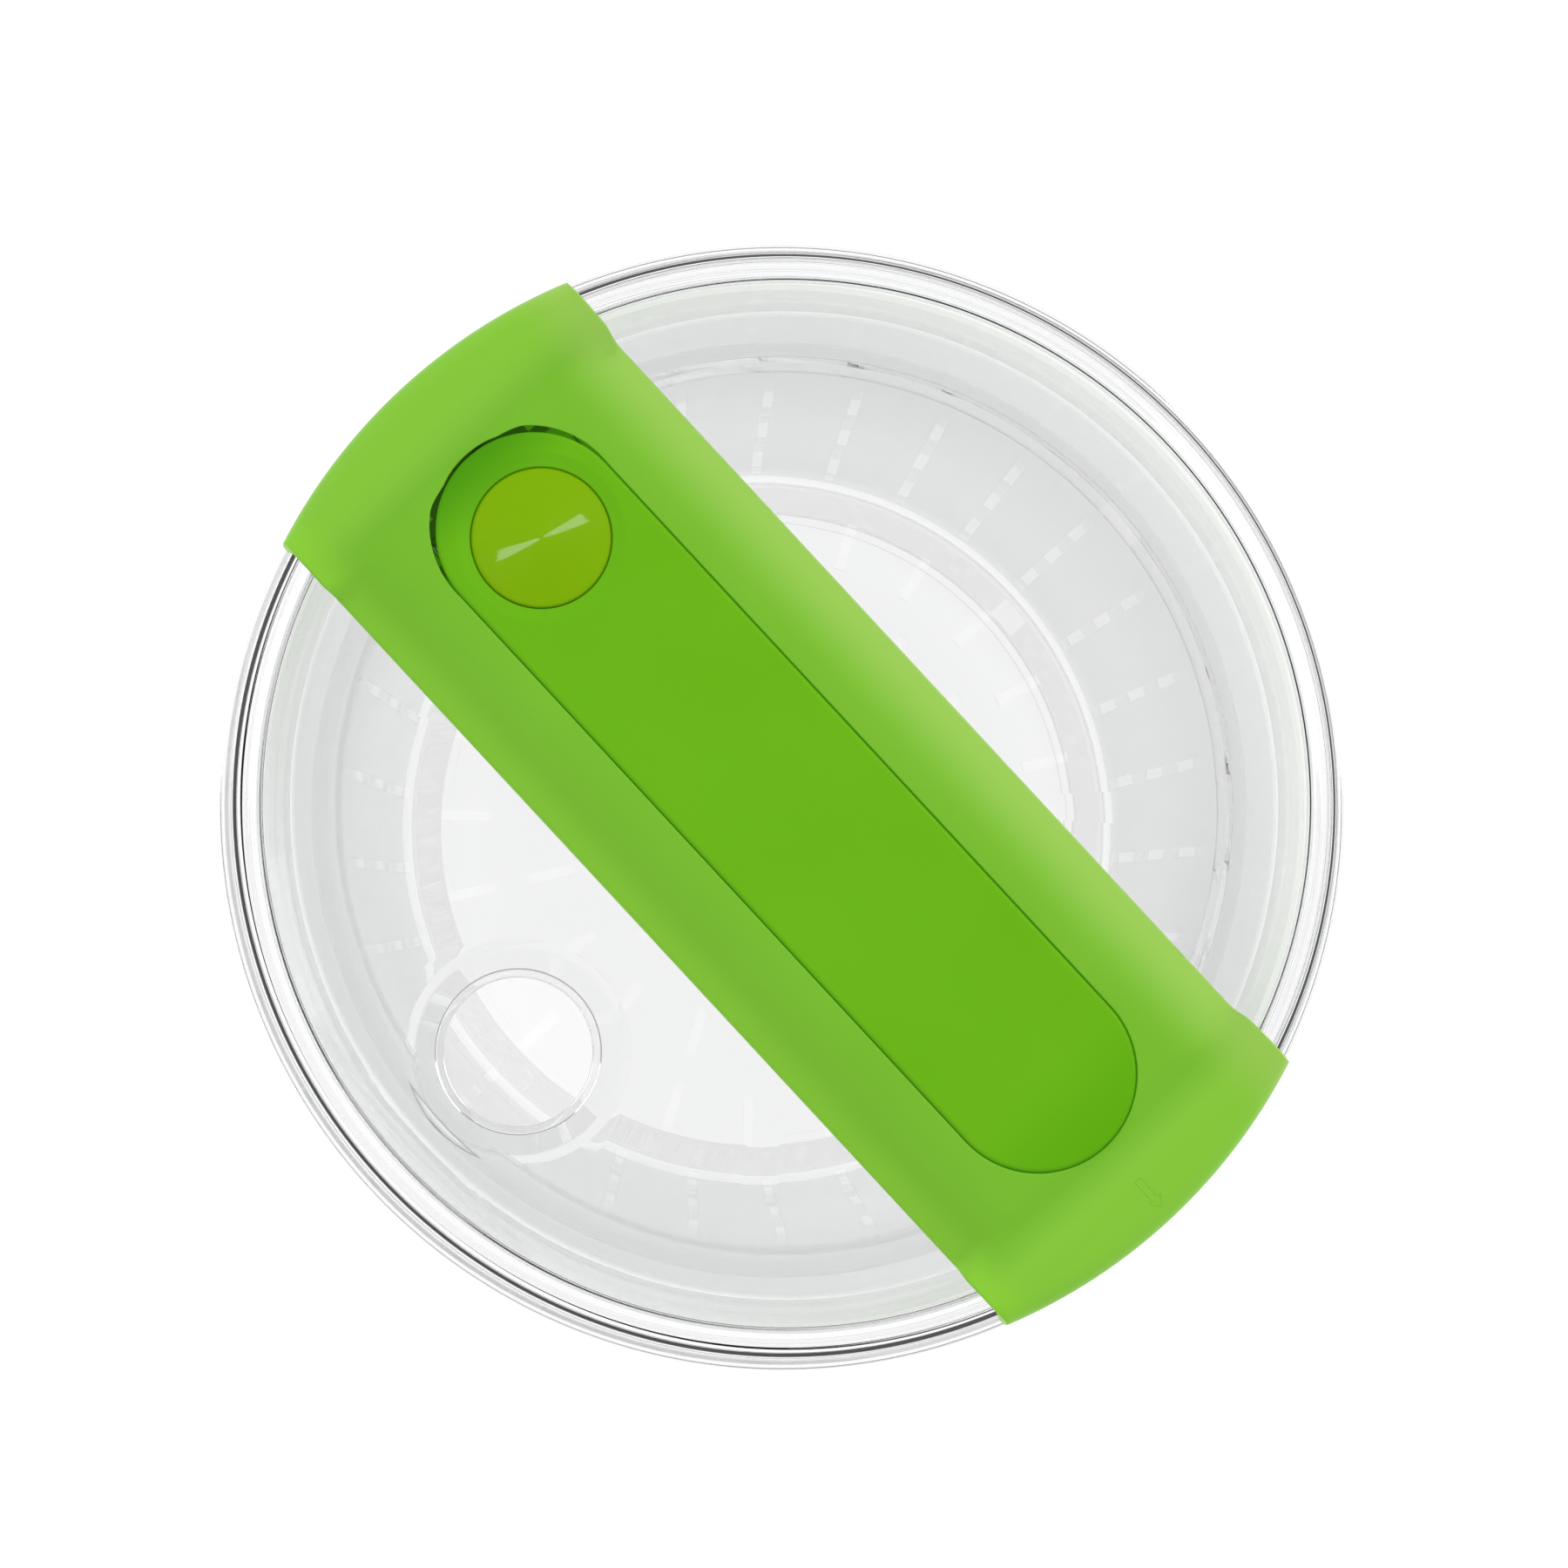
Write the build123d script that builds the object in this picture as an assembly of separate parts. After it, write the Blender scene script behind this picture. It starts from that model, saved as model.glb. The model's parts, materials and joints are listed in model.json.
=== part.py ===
"""Lever-pump salad spinner: clear bowl, basket and lid, with a green handle bar and pump lever.

Millimetres. +Z is up, the origin is the middle of the base. +X runs along the handle bar to
the free end of the lever. The pour hole is on the -Y side.
"""

from build123d import *
import math
import os

# ---- lid ----
LID_R = 130.0
RIM_TOP = 170.0
RIM_INNER_R = 119.6
DISC_R = 113.2
DISC_TOP = 161.4
DISC_UNDER = 159.0
SKIRT_R = 103.4
SKIRT_LOW = 137.0
POUR_HOLE = (0.0, -83.5)
POUR_R = 17.0
POUR_BOSS_R = 26.0

# ---- handle bar ----
BAR_HALF_W = 43.6
BAR_TOP = 169.7
BAR_EDGE = 163.0
BAR_FLOOR = 163.6
CLIP_HALF_W = 44.2
CLIP_X = 104.0
CLIP_TOP = 173.0
CLIP_R = 129.7
CLIP_LOW = 154.0

# ---- lever ----
LEVER_X = -0.3
LEVER_L = 214.6
LEVER_W = 45.0
LEVER_TOP = 169.9
LEVER_LOW = 164.2
LEVER_SKIN = 2.0
LEVER_GAP = 0.45
LEVER_RELIEF = 1.65
LEVER_END_X = LEVER_X - LEVER_L / 2 + LEVER_W / 2
HINGE_X = -97.0
HINGE_Z = 161.4
HINGE_PIN_R = 1.5
BARREL_R = 3.2
RUNNING = 0.05

# ---- button and brake ----
BUTTON_X = -82.7
BUTTON_R = 15.9
BUTTON_UNDER = 167.6
BUTTON_EDGE = 169.2
BUTTON_APEX = 172.0
BUTTON_TRAVEL = 2.5
CUP_R = 9.0
CUP_FLOOR = 157.0
STEM_Y = -2.0
STEM_W = 5.0
STEM_T = 4.0
STEM_LOW = 152.0
SLIDER_Y = -2.6
SLIDER_W = 6.8
SLIDER_Z = 149.5
SLIDER_T = 3.8
ROD_R = 1.8
DRUM_R = 9.0
BRAKE_GAP = 2.8

# ---- gear train ----
MODULE = 1.25
PRESSURE = math.radians(25.0)
ADDENDUM = 1.0
DEDENDUM = 1.35
BACKLASH = 0.25
SECTOR_TEETH = 26
PINION_TEETH = 10
WHEEL_TEETH = 26
CLUTCH_TEETH = 10
TOOTH_PITCH = math.pi * MODULE
SECTOR_PITCH_R = MODULE * SECTOR_TEETH / 2
PINION_PITCH_R = MODULE * PINION_TEETH / 2
CENTRES = MODULE * (WHEEL_TEETH + CLUTCH_TEETH) / 2
TRANSFER_Y = 14.0
TRANSFER_X = -math.sqrt(CENTRES**2 - TRANSFER_Y**2)
RACK_Y0 = 1.2
RACK_Y1 = TRANSFER_Y - PINION_PITCH_R - DEDENDUM
RACK_Z0 = 139.4
RACK_Z1 = HINGE_Z - SECTOR_PITCH_R - DEDENDUM
RACK_X0 = -107.7
RACK_X1 = -17.4
WHEEL_Z0 = 153.0
WHEEL_Z1 = 157.0

# ---- gear tray ----
TRAY_X0 = -111.0
TRAY_X1 = 34.0
TRAY_HALF_W = 34.0
TRAY_LOW = 137.0
TRAY_TOP = 158.9
TRAY_WALL = 2.0
SCREW_X = (-78.0, -48.0, 28.0)
SCREW_Y = 29.5
SCREW_R = 1.4

# ---- drive shaft and driver ----
SHAFT_R = 2.5
SHAFT_LOW = 127.2
SHAFT_TOP = 161.2
DRIVER_HUB_R = 11.0
DRIVER_TOP = 135.2
ARM_R = 100.4
ARM_HALF_W = 8.0
FINGER_LOW = 122.0
FINGER_X = 94.0

# ---- basket and bowl ----
BASKET_RIM_R = 109.5
BASKET_TOP = 134.0
BASKET_FLOOR = 14.0
BASKET_WALL = 2.0
BOWL_RIM_R = 127.4
BOWL_TOP = 148.0
BOWL_FLOOR = 6.5
PIVOT_R = 3.0
FOOT_R = 6.5


def block(x0, x1, y0, y1, z0, z1):
    """A box between two corners."""
    size = Box(x1 - x0, y1 - y0, z1 - z0, align=(Align.MIN, Align.MIN, Align.MIN))
    return Pos(x0, y0, z0) * size


def rod(radius, z0, z1, x=0.0, y=0.0):
    """An upright cylinder."""
    solid = Cylinder(radius, z1 - z0, align=(Align.CENTER, Align.CENTER, Align.MIN))
    return Pos(x, y, z0) * solid


def tube(outer, inner, z0, z1, x=0.0, y=0.0):
    """An upright tube."""
    return rod(outer, z0, z1, x, y) - rod(inner, z0 - 1, z1 + 1, x, y)


def cross_rod(radius, y0, y1, x=HINGE_X, z=HINGE_Z):
    """A cylinder along Y."""
    return Pos(x, (y0 + y1) / 2, z) * Rot(90, 0, 0) * Cylinder(radius, y1 - y0)


def long_rod(radius, x0, x1, y=SLIDER_Y, z=SLIDER_Z):
    """A cylinder along X."""
    return Pos((x0 + x1) / 2, y, z) * Rot(0, 90, 0) * Cylinder(radius, x1 - x0)


def turned(points, rounds=()):
    """A body of revolution about Z; rounds lists (corner number, radius)."""
    face = make_face(Polyline(*points, close=True))
    for number, radius in rounds:
        corner = face.vertices().sort_by_distance(points[number])[0]
        face = fillet(corner, radius)
    return revolve(Plane.XZ * face, axis=Axis.Z)


def prism_y(points, y0, y1):
    """An outline in X and Z, drawn out along Y."""
    face = Plane((0, y1, 0), x_dir=(1, 0, 0), z_dir=(0, -1, 0)) * make_face(
        Polyline(*points, close=True)
    )
    return extrude(face, amount=y1 - y0)


def slot_block(length, width, z0, z1, x=LEVER_X):
    """An upright slot shape, long along X."""
    return extrude(Pos(x, 0, z0) * SlotOverall(length, width), amount=z1 - z0)


def coil(radius, wire, height, turns, lefthand=False):
    """A round-wire helical spring standing on its own origin."""
    path = Helix(pitch=height / turns, height=height, radius=radius, lefthand=lefthand)
    section = (path ^ 0) * Circle(wire)
    return sweep(section, path=path)


def involute(angle):
    """The involute function."""
    return math.tan(angle) - angle


def gear_face(teeth, tooth_at):
    """A spur gear outline with one tooth centred on the direction tooth_at, in degrees."""
    pitch_r = MODULE * teeth / 2
    base_r = pitch_r * math.cos(PRESSURE)
    root_r = pitch_r - DEDENDUM
    tip_r = pitch_r + ADDENDUM
    half_tooth = (TOOTH_PITCH / 2 - BACKLASH) / (2 * pitch_r) + involute(PRESSURE)
    flank = [root_r]
    low = max(base_r, root_r)
    for step in range(4):
        flank.append(low + (tip_r - low) * step / 3)
    if flank[1] - flank[0] < 0.01:
        flank.pop(0)
    points = []
    for tooth in range(teeth):
        middle = math.radians(tooth_at) + 2 * math.pi * tooth / teeth
        sides = []
        for radius in flank:
            roll = math.acos(min(1.0, base_r / radius))
            sides.append((radius, half_tooth - involute(roll)))
        for radius, half in sides:
            points.append((radius * math.cos(middle - half), radius * math.sin(middle - half)))
        for radius, half in reversed(sides):
            points.append((radius * math.cos(middle + half), radius * math.sin(middle + half)))
    return make_face(Polyline(*points, close=True))


def rack_tooth(centre, pitch_line, root_line):
    """The four corners of one straight rack tooth: (along, height)."""
    half = (TOOTH_PITCH / 2 - BACKLASH) / 2
    tip = pitch_line + ADDENDUM
    slope = math.tan(PRESSURE)
    half_root = half + (pitch_line - root_line) * slope
    half_tip = half - ADDENDUM * slope
    return [
        (centre - half_root, root_line),
        (centre - half_tip, tip),
        (centre + half_tip, tip),
        (centre + half_root, root_line),
    ]


# ---- bowl group ----


def make_bowl():
    """Clear bowl with a double foot wall, a middle boss and a turned-out rim."""
    outline = [
        (0, 4.0),
        (78.0, 4.0),
        (78.0, 1.2),
        (80.0, 1.2),
        (80.0, 4.0),
        (88.0, 4.0),
        (88.0, 1.2),
        (90.0, 1.2),
        (92.0, 6.0),
        (112.0, 44.0),
        (122.6, BOWL_TOP - 3.4),
        (BOWL_RIM_R, BOWL_TOP - 2.6),
        (BOWL_RIM_R, BOWL_TOP),
        (120.6, BOWL_TOP),
        (109.6, 44.0),
        (89.6, BOWL_FLOOR),
        (0, BOWL_FLOOR),
    ]
    rounds = ((9, 120.0), (14, 117.6), (15, 8.0), (8, 6.0), (10, 2.0), (12, 0.8))
    bowl = turned(outline, rounds)
    bowl += rod(8.0, BOWL_FLOOR - 1, 9.9)
    return bowl - rod(PIVOT_R, 5.0, 12.0)


def make_base_ring():
    """Soft ring that stands in the foot's groove."""
    outline = [(80.3, 0.8), (81.3, 0), (86.7, 0), (87.7, 0.8), (87.7, 3.9), (80.3, 3.9)]
    return turned(outline)


def make_pivot_pin():
    """Steel pin in the bowl's boss, with a domed tip."""
    return rod(PIVOT_R, 5.0, 16.0) + Pos(0, 0, 16.0) * Sphere(PIVOT_R)


def make_pivot_foot():
    """Bearing cup that stands on the pin and carries the turning basket."""
    foot = rod(10.0, 10.2, 12.3) + rod(FOOT_R, 12.3, 25.7)
    return foot - rod(PIVOT_R + RUNNING, 9.0, 19.4)


# ---- basket group ----


def make_basket():
    """Clear strainer basket with slotted wall and floor and four driving ribs."""
    rise = BASKET_TOP - 3.0
    outline = [
        (9.05, 12.8),
        (12.0, 12.8),
        (14.0, BASKET_FLOOR),
        (89.0, BASKET_FLOOR),
        (104.5, rise),
        (BASKET_RIM_R, rise),
        (BASKET_RIM_R, BASKET_TOP),
        (102.8, BASKET_TOP),
        (87.4, BASKET_FLOOR + 2.2),
        (13.0, BASKET_FLOOR + 2.2),
        (12.0, 28.0),
        (0, 28.0),
        (0, 26.0),
        (9.05, 26.0),
    ]
    basket = turned(outline, ((3, 9.0), (8, 7.0), (6, 1.2)))
    inside = turned([(60, 112.0), (101.2, 112.0), (103.4, 130.0), (60, 130.0)])
    ribs = Part()
    for side in (-1, 1):
        for edge in (-1, 1):
            y = edge * (ARM_HALF_W + 1.8)
            ribs += Pos(side * 98.0, y, 124.0) * Box(12.0, 2.4, 12.0)
    basket += ribs & inside
    slots = []
    for row in range(3):
        z = 36.0 + 32.0 * row
        wall_r = 90.0 + (z - 20.0) * 0.13
        slots += PolarLocations(wall_r, 30, start_angle=6.0) * Box(9.0, 2.6, 24.0).moved(
            Pos(0, 0, z)
        )
    for ring_r, count in ((34.0, 12), (54.0, 18), (74.0, 24)):
        hole = Box(12.0, 2.6, 8.0).moved(Pos(0, 0, BASKET_FLOOR + 1))
        slots += PolarLocations(ring_r, count) * hole
    return basket - slots


def make_basket_bush():
    """Bush in the basket's hub that turns on the pivot foot."""
    return tube(9.0, FOOT_R + RUNNING, 12.8, 24.0)


# ---- lid group ----


def make_lid():
    """Clear lid: rolled rim, sunken disc, hanging skirt, pour hole and hinge window."""
    outline = [
        (0, DISC_UNDER),
        (0, DISC_TOP),
        (DISC_R, DISC_TOP),
        (RIM_INNER_R, RIM_TOP),
        (125.0, RIM_TOP),
        (126.6, 167.6),
        (127.9, 152.6),
        (LID_R, 151.2),
        (LID_R, 143.5),
        (128.0, 143.5),
        (128.0, BOWL_TOP + 0.4),
        (125.6, BOWL_TOP + 0.4),
        (124.4, 166.6),
        (120.9, 167.6),
        (114.5, DISC_UNDER),
        (SKIRT_R, DISC_UNDER),
        (SKIRT_R, SKIRT_LOW),
        (SKIRT_R - 1.4, SKIRT_LOW),
        (SKIRT_R - 1.4, DISC_UNDER),
    ]
    rounds = ((2, 2.0), (3, 1.4), (4, 1.2), (5, 1.2), (7, 0.6))
    lid = turned(outline, rounds)
    hole_x, hole_y = POUR_HOLE
    lid += rod(POUR_BOSS_R, DISC_UNDER, DISC_TOP + 0.6, hole_x, hole_y)
    lid += rod(POUR_R + 2.2, DISC_UNDER - 4.5, DISC_TOP, hole_x, hole_y)
    lid -= rod(POUR_R, DISC_UNDER - 6, DISC_TOP + 3, hole_x, hole_y)
    lid -= block(-111.0, -63.0, -15.0, 15.0, 150.0, 163.0)
    lid -= block(-103.0, -63.0, -22.0, 22.0, 150.0, 163.0)
    lid -= block(-103.0, -92.0, -30.0, 30.0, 158.0, 163.0)
    lid -= block(-108.0, -90.0, -36.0, 36.0, SKIRT_LOW - 1, DISC_UNDER)
    lid -= rod(4.2, 150.0, 163.0)
    for x in SCREW_X:
        for y in (-SCREW_Y, SCREW_Y):
            lid -= rod(SCREW_R + 0.4, 150.0, 163.0, x, y)
    return lid


def make_bar_section():
    """Outline across the bar: flat crown with rounded shoulders falling to the disc."""
    crown = Line((-24.5, BAR_TOP), (24.5, BAR_TOP))
    right = ThreePointArc((24.5, BAR_TOP), (35.5, 167.6), (BAR_HALF_W, BAR_EDGE))
    right_foot = Line((BAR_HALF_W, BAR_EDGE), (BAR_HALF_W, DISC_TOP))
    under = Line((BAR_HALF_W, DISC_TOP), (-BAR_HALF_W, DISC_TOP))
    left_foot = Line((-BAR_HALF_W, DISC_TOP), (-BAR_HALF_W, BAR_EDGE))
    left = ThreePointArc((-BAR_HALF_W, BAR_EDGE), (-35.5, 167.6), (-24.5, BAR_TOP))
    return make_face(Curve() + [crown, right, right_foot, under, left_foot, left])


def make_clip():
    """Roll at the +X end of the bar that hooks over the lid's rim."""
    outline = [
        (90.0, DISC_TOP),
        (90.0, 168.4),
        (109.0, 168.4),
        (116.0, CLIP_TOP),
        (125.5, CLIP_TOP),
        (CLIP_R, 168.0),
        (CLIP_R, CLIP_LOW),
        (128.2, CLIP_LOW),
        (126.9, 167.9),
        (125.2, RIM_TOP + 0.3),
        (RIM_INNER_R - 0.2, RIM_TOP + 0.3),
        (DISC_R - 0.3, DISC_TOP),
    ]
    hook = turned(outline, ((2, 5.0), (3, 4.0), (4, 3.5), (5, 3.5), (11, 2.6)))
    return hook & block(CLIP_X, 140.0, -CLIP_HALF_W, CLIP_HALF_W, 150.0, 180.0)


def make_handle_bar():
    """Green bar with the lever's recess, two rim clips, pin bosses and screw bosses."""
    across = Plane((-CLIP_X, 0, 0), x_dir=(0, 1, 0), z_dir=(1, 0, 0)) * make_bar_section()
    bar = extrude(across, amount=2 * CLIP_X)
    clip = make_clip()
    bar += [clip, Rot(0, 0, 180) * clip]
    for side in (-1, 1):
        hollow = [(25.5, 160.0), (25.5, 167.2), (31.0, 166.4), (39.0, 162.6), (39.0, 160.0)]
        face = make_face(Polyline(*[(side * y, z) for y, z in hollow], close=True))
        start = Plane((-88.0, 0, 0), x_dir=(0, 1, 0), z_dir=(1, 0, 0))
        bar -= extrude(start * face, amount=186.0)
    for x in SCREW_X:
        for y in (-SCREW_Y, SCREW_Y):
            bar += rod(3.8, DISC_TOP, 166.4, x, y)
            bar -= rod(SCREW_R, DISC_TOP - 1, 165.6, x, y)
    recess_l = LEVER_L + 2 * LEVER_GAP
    recess_w = LEVER_W + 2 * LEVER_GAP
    bar -= slot_block(recess_l, recess_w, BAR_FLOOR, 180.0)
    end_r = recess_w / 2
    undercut = Pos(LEVER_END_X, 0, 166.1) * Cone(
        end_r + 2.7, end_r, 2.7, align=(Align.CENTER, Align.CENTER, Align.MIN)
    )
    undercut += rod(end_r + 2.7, BAR_FLOOR, 166.1, LEVER_END_X)
    bar -= undercut & block(-125.0, -90.0, -30.0, 30.0, 150.0, 180.0)
    relief = rod(end_r, BAR_FLOOR, 180.0, LEVER_END_X - LEVER_RELIEF)
    bar -= relief & block(-104.5, LEVER_END_X, -30.0, 30.0, 150.0, 180.0)
    bar -= block(-111.0, -63.0, -15.8, 15.8, DISC_TOP - 1, 166.1)
    bar -= block(-103.0, -63.0, -22.0, 22.0, DISC_TOP - 1, BAR_FLOOR)
    for side in (-1, 1):
        low_y, high_y = sorted((side * 23.2, side * 29.5))
        bar += block(-101.0, -93.0, low_y, high_y, 159.2, 165.5)
    return bar - cross_rod(HINGE_PIN_R, -27.5, 27.5)


def make_gear_tray():
    """Open tray under the disc that carries the gears, the rack and the brake slider."""
    length = TRAY_X1 - TRAY_X0
    middle = (TRAY_X0 + TRAY_X1) / 2
    outer = Pos(middle, 0, TRAY_LOW) * RectangleRounded(length, 2 * TRAY_HALF_W, 6.0)
    inner = Pos(middle, 0, TRAY_LOW + TRAY_WALL) * RectangleRounded(
        length - 2 * TRAY_WALL, 2 * (TRAY_HALF_W - TRAY_WALL), 4.0
    )
    floor = TRAY_LOW + TRAY_WALL
    tray = extrude(outer, amount=TRAY_TOP - TRAY_LOW) - extrude(inner, amount=40.0)
    for x in SCREW_X:
        for y in (-SCREW_Y, SCREW_Y):
            tray += rod(4.4, TRAY_LOW, TRAY_TOP, x, y)
            tray -= rod(3.2, TRAY_LOW - 1, 141.0, x, y)
            tray -= rod(SCREW_R + 0.3, TRAY_LOW, 160.0, x, y)
    tray -= rod(5.05, TRAY_LOW - 1, 145.0)
    tray -= rod(HINGE_PIN_R + 0.02, TRAY_LOW + 0.6, 145.0, TRANSFER_X, TRANSFER_Y)
    tray += block(-104.0, -52.0, 0.1, RACK_Y0 - 0.4, floor - 0.5, 142.5)
    tray += block(-104.0, -52.0, RACK_Y1 + 0.4, RACK_Y1 + 1.6, floor - 0.5, 142.5)
    slider_low = SLIDER_Z - SLIDER_T / 2
    tray += block(-74.0, -70.0, -8.0, 0.9, floor - 0.5, slider_low - 0.3)
    tray += block(-74.0, -70.0, -8.4, -6.4, floor - 0.5, 152.0)
    tray += block(-44.0, -40.0, -6.4, 0.9, floor - 0.5, 153.0)
    return tray - long_rod(ROD_R + 0.3, -46.0, -38.0)


def make_tray_screws():
    """Six self-tapping screws from the tray through the disc into the bar."""
    screws = []
    for x in SCREW_X:
        for y in (-SCREW_Y, SCREW_Y):
            screw = rod(3.0, 138.6, 141.0, x, y) + rod(SCREW_R, 141.0, 165.4, x, y)
            screws.append(screw - block(x - 2.2, x + 2.2, y - 0.4, y + 0.4, 138.0, 139.6))
    return Compound(children=screws)


def make_hinge_pin():
    """Steel pin across the bar that the lever turns on."""
    return cross_rod(HINGE_PIN_R, -27.3, 27.3)


def make_lever_spring():
    """Torsion spring on the hinge pin: one leg down to the tray, one under the lever."""
    radius, wire, width, turns = 2.4, 0.4, 8.6, 6.25
    frame = Plane((HINGE_X, -11.0, HINGE_Z), x_dir=(-1, 0, 0), z_dir=(0, -1, 0))
    helix = Helix(pitch=width / turns, height=width, radius=radius, lefthand=True)
    path = frame * helix
    spring = sweep((path ^ 0) * Circle(wire), path=path)
    spring += extrude((path ^ 0) * Circle(wire), amount=-22.2)
    return spring + extrude((path ^ 1) * Circle(wire), amount=11.0)


def make_transfer_axle():
    """Steel axle of the transfer gear, held in the tray's floor."""
    return rod(HINGE_PIN_R, TRAY_LOW + 0.7, 158.7, TRANSFER_X, TRANSFER_Y)


def make_spindle_bush():
    """Flanged bush of the drive shaft in the tray's floor."""
    bush = rod(5.0, 135.6, 140.9) + rod(7.0, 135.6, TRAY_LOW)
    return bush - rod(SHAFT_R + RUNNING, 134.0, 142.0)


def make_top_bush():
    """Flanged bush of the drive shaft in the lid's disc."""
    bush = rod(4.15, 158.2, 161.3) + rod(6.0, 158.2, DISC_UNDER)
    return bush - rod(SHAFT_R + RUNNING, 157.0, 162.0)


# ---- lever group ----


def make_lever_cover():
    """Green top shell of the lever, with the button's hole in a shallow countersink."""
    cover = slot_block(LEVER_L, LEVER_W, LEVER_LOW, LEVER_TOP)
    cover = fillet(cover.faces().sort_by(Axis.Z)[-1].edges(), 1.0)
    inner_l = LEVER_L - 2 * LEVER_SKIN
    inner_w = LEVER_W - 2 * LEVER_SKIN
    cover -= slot_block(inner_l, inner_w, LEVER_LOW - 1, LEVER_TOP - LEVER_SKIN)
    cover -= rod(BUTTON_R + 0.5, 160.0, 172.0, BUTTON_X)
    sink = Cone(17.2, 19.0, 0.7, align=(Align.CENTER, Align.CENTER, Align.MIN))
    return cover - Pos(BUTTON_X, 0, LEVER_TOP - 0.7) * sink


def make_lever_core():
    """Ribbed core inside the cover, with the hinge barrel and the button's spring cup."""
    core_l = LEVER_L - 2 * LEVER_SKIN - 0.4
    core_w = LEVER_W - 2 * LEVER_SKIN - 0.4
    core = slot_block(core_l, core_w, 164.4, LEVER_TOP - LEVER_SKIN - 0.1)
    for number in range(6):
        start = -56.0 + 25.0 * number
        for low_y in (-18.3, 1.0):
            core -= block(start, start + 22.5, low_y, low_y + 17.3, 163.0, 166.4)
    core -= rod(BUTTON_R + 0.9, 164.6, 170.0, BUTTON_X)
    core += rod(17.5, 162.6, 164.6, BUTTON_X)
    core += rod(CUP_R, CUP_FLOOR, 164.6, BUTTON_X)
    core -= rod(CUP_R - 1.8, CUP_FLOOR + 1.2, 170.0, BUTTON_X)
    stem_x0 = BUTTON_X - STEM_T / 2 - 0.3
    stem_y0 = STEM_Y - STEM_W / 2 - 0.3
    core -= block(
        stem_x0, stem_x0 + STEM_T + 0.6, stem_y0, stem_y0 + STEM_W + 0.6, 155.0, 160.0
    )
    core += cross_rod(BARREL_R, -21.5, 21.5) & block(-102.0, -92.0, -22.0, 22.0, 150.0, 164.0)
    core += block(-99.8, -94.2, -13.5, 13.5, HINGE_Z, 164.6)
    core -= block(-104.5, -91.9, 1.4, 6.4, 150.0, 164.4)
    core -= block(-101.0, -92.0, -20.2, -10.2, 150.0, 164.5)
    return core - cross_rod(HINGE_PIN_R + RUNNING, -25.0, 25.0)


def make_lever_sector():
    """Toothed sector under the lever, turning on the hinge pin."""
    y0, y1 = 1.6, 6.2
    plane = Plane((HINGE_X, y1, HINGE_Z), x_dir=(1, 0, 0), z_dir=(0, -1, 0))
    wheel = extrude(plane * gear_face(SECTOR_TEETH, -90.0), amount=y1 - y0)
    reach = 30.0
    wedge = [(HINGE_X, HINGE_Z + 1.0)]
    for degrees in (-129.0, -102.0, -76.0):
        angle = math.radians(degrees)
        wedge.append((HINGE_X + reach * math.cos(angle), HINGE_Z + reach * math.sin(angle)))
    sector = wheel & prism_y(wedge, y0, y1)
    sector += cross_rod(5.0, y0, y1) & block(-110.0, -80.0, 0.0, 10.0, 150.0, 164.3)
    sector += block(-103.5, -92.2, y0, y1, 160.8, 164.3)
    return sector - cross_rod(HINGE_PIN_R + RUNNING, 0.0, 10.0)


# ---- button group ----


def make_button_cap():
    """Glossy button with a shallow cone on top."""
    outline = [
        (0, BUTTON_UNDER),
        (BUTTON_R, BUTTON_UNDER),
        (BUTTON_R, BUTTON_EDGE),
        (0, BUTTON_APEX),
    ]
    return Pos(BUTTON_X, 0, 0) * turned(outline, ((2, 0.5),))


def make_button_stem():
    """Blade under the button, with a sloping foot that pushes the brake slider."""
    half = STEM_T / 2
    outline = [
        (BUTTON_X - half, STEM_LOW),
        (BUTTON_X + half, STEM_LOW + STEM_T),
        (BUTTON_X + half, 166.6),
        (BUTTON_X - half, 166.6),
    ]
    stem = prism_y(outline, STEM_Y - STEM_W / 2, STEM_Y + STEM_W / 2)
    return stem + rod(5.0, 166.4, BUTTON_UNDER, BUTTON_X)


def make_button_spring():
    """Coil spring that lifts the button."""
    wire = 0.45
    low = CUP_FLOOR + 1.2 + wire + 0.05
    height = BUTTON_UNDER - wire - 0.05 - low
    return Pos(BUTTON_X, 0, low) * coil(6.3, wire, height, 4)


# ---- brake group ----


def make_brake_slider():
    """Slider that carries the button's push to the brake drum."""
    half_w = SLIDER_W / 2
    low = SLIDER_Z - SLIDER_T / 2
    high = SLIDER_Z + SLIDER_T / 2
    y0, y1 = SLIDER_Y - half_w, SLIDER_Y + half_w
    foot_x = BUTTON_X - STEM_T / 2
    ramp_low = STEM_LOW - 0.4
    ramp_run = BUTTON_TRAVEL + 0.5
    outline = [
        (-90.0, low),
        (-60.0, low),
        (-60.0, high),
        (-77.5, high),
        (foot_x + STEM_T + 1.0, ramp_low + STEM_T),
        (foot_x + STEM_T, ramp_low + STEM_T),
        (foot_x - ramp_run, ramp_low - ramp_run),
        (-90.0, ramp_low - ramp_run),
    ]
    slider = prism_y(outline, y0, y1)
    slider += long_rod(ROD_R, -61.0, -19.0)
    return slider + block(-20.0, -14.5, y0, y1, low, high)


def make_brake_pad():
    """Rubber shoe, hollowed to the drum's curve."""
    half_w = SLIDER_W / 2
    low = SLIDER_Z - SLIDER_T / 2
    high = SLIDER_Z + SLIDER_T / 2
    pad = block(-14.5, -6.0, SLIDER_Y - half_w, SLIDER_Y + half_w, low, high)
    return pad - rod(DRUM_R + BRAKE_GAP, 140.0, 160.0)


def make_brake_spring():
    """Coil spring on the slider's rod, at its free length."""
    wire = 0.4
    frame = Plane((-59.9 + wire, SLIDER_Y, SLIDER_Z), x_dir=(0, 1, 0), z_dir=(1, 0, 0))
    return frame * coil(2.7, wire, 11.4, 6)


# ---- drive train ----


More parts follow.
